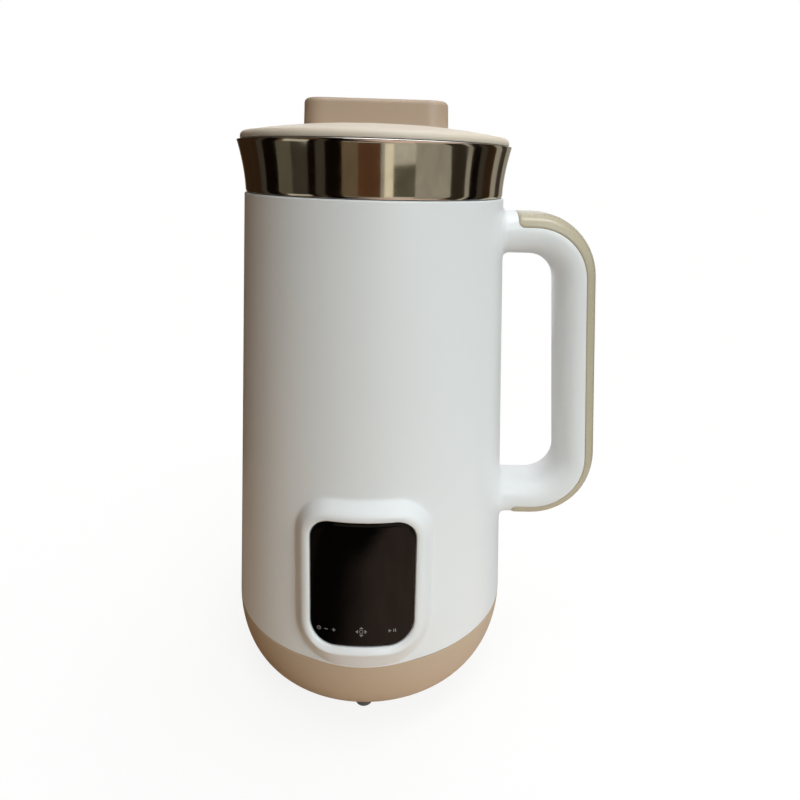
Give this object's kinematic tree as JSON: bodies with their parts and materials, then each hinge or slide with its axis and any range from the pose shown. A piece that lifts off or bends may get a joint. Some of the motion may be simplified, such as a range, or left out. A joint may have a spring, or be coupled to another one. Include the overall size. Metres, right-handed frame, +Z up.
{
  "type": "nut milk maker",
  "caption": "Tapered jug appliance with steel pot, lift-off domed lid, curved black touch panel and side handle, driving a blade from a motor in its base.",
  "frame": {"origin": "on the jug's axis, in the plane of the bottom cover's flat underside", "axes": "+Z up along the jug's axis, -Y out through the touch panel, +X out through the handle"},
  "size_m": [0.1708, 0.1318, 0.2629],
  "materials": {
    "white_plastic": "satin white moulding",
    "tan_plastic": "matt tan moulding",
    "beige_plastic": "satin beige moulding",
    "dark_plastic": "matt black moulding",
    "black_glass": "black back-printed glass",
    "polished_steel": "mirror-polished stainless steel",
    "brushed_steel": "machined or pressed steel",
    "aluminium": "cast or drawn aluminium",
    "bronze": "sintered bronze",
    "brass": "plain brass or copper",
    "ferrite": "dark ferrite and core steel",
    "silicone": "milky silicone",
    "grey_rubber": "dark grey rubber",
    "board": "green circuit board"
  },
  "bodies": {
    "jug": {"outer_shell": "white_plastic", "handle_frame": "white_plastic", "base_shell": "tan_plastic", "bottom_cover": "tan_plastic", "handle_grip": "tan_plastic", "power_inlet": "dark_plastic", "display_module": "dark_plastic", "motor_end_cap": "dark_plastic", "lid_switch": "dark_plastic", "touch_glass": "black_glass", "steel_pot": "polished_steel", "shaft_seat": "brushed_steel", "seat_nut": "brushed_steel", "temperature_sensor": "brushed_steel", "overflow_probe": "brushed_steel", "motor_can": "brushed_steel", "bearing_upper": "brushed_steel", "bearing_lower": "brushed_steel", "bottom_screw_1": "brushed_steel", "bottom_screw_2": "brushed_steel", "bottom_screw_3": "brushed_steel", "bracket_screw_1": "brushed_steel", "bracket_screw_2": "brushed_steel", "bracket_screw_3": "brushed_steel", "handle_screw_upper": "brushed_steel", "handle_screw_lower": "brushed_steel", "heat_plate": "aluminium", "heating_ring": "aluminium", "motor_bracket": "aluminium", "shaft_bush": "bronze", "inlet_pin_line": "brass", "inlet_pin_neutral": "brass", "inlet_pin_earth": "brass", "magnet_left": "ferrite", "magnet_right": "ferrite", "power_transformer": "ferrite", "pot_gasket": "silicone", "probe_bush": "silicone", "foot_front": "grey_rubber", "foot_rear_left": "grey_rubber", "foot_rear_right": "grey_rubber", "shaft_seal": "grey_rubber", "control_board": "board", "power_board": "board"},
    "lid": {"lid_cover": "beige_plastic", "lid_knob": "beige_plastic", "lid_liner": "white_plastic", "lid_seal": "silicone", "lid_screw_1": "brushed_steel", "lid_screw_2": "brushed_steel", "lid_magnet": "ferrite"},
    "rotor": {"blade_upper": "brushed_steel", "blade_lower": "brushed_steel", "blade_nut": "brushed_steel", "blade_shaft": "brushed_steel", "shaft_coupling": "grey_rubber", "motor_shaft": "brushed_steel", "armature": "ferrite", "commutator": "brass", "cooling_fan": "dark_plastic"}
  },
  "joints": [
    {"name": "lid_lift", "type": "slide", "parent": "jug", "child": "lid", "axis": [0, 0, 1], "range_m": [0, 0.08]},
    {"name": "rotor_spin", "type": "hinge", "parent": "jug", "child": "rotor", "pos_m": [0, 0, 0.0895], "axis": [0, 0, 1], "continuous": true}
  ]
}
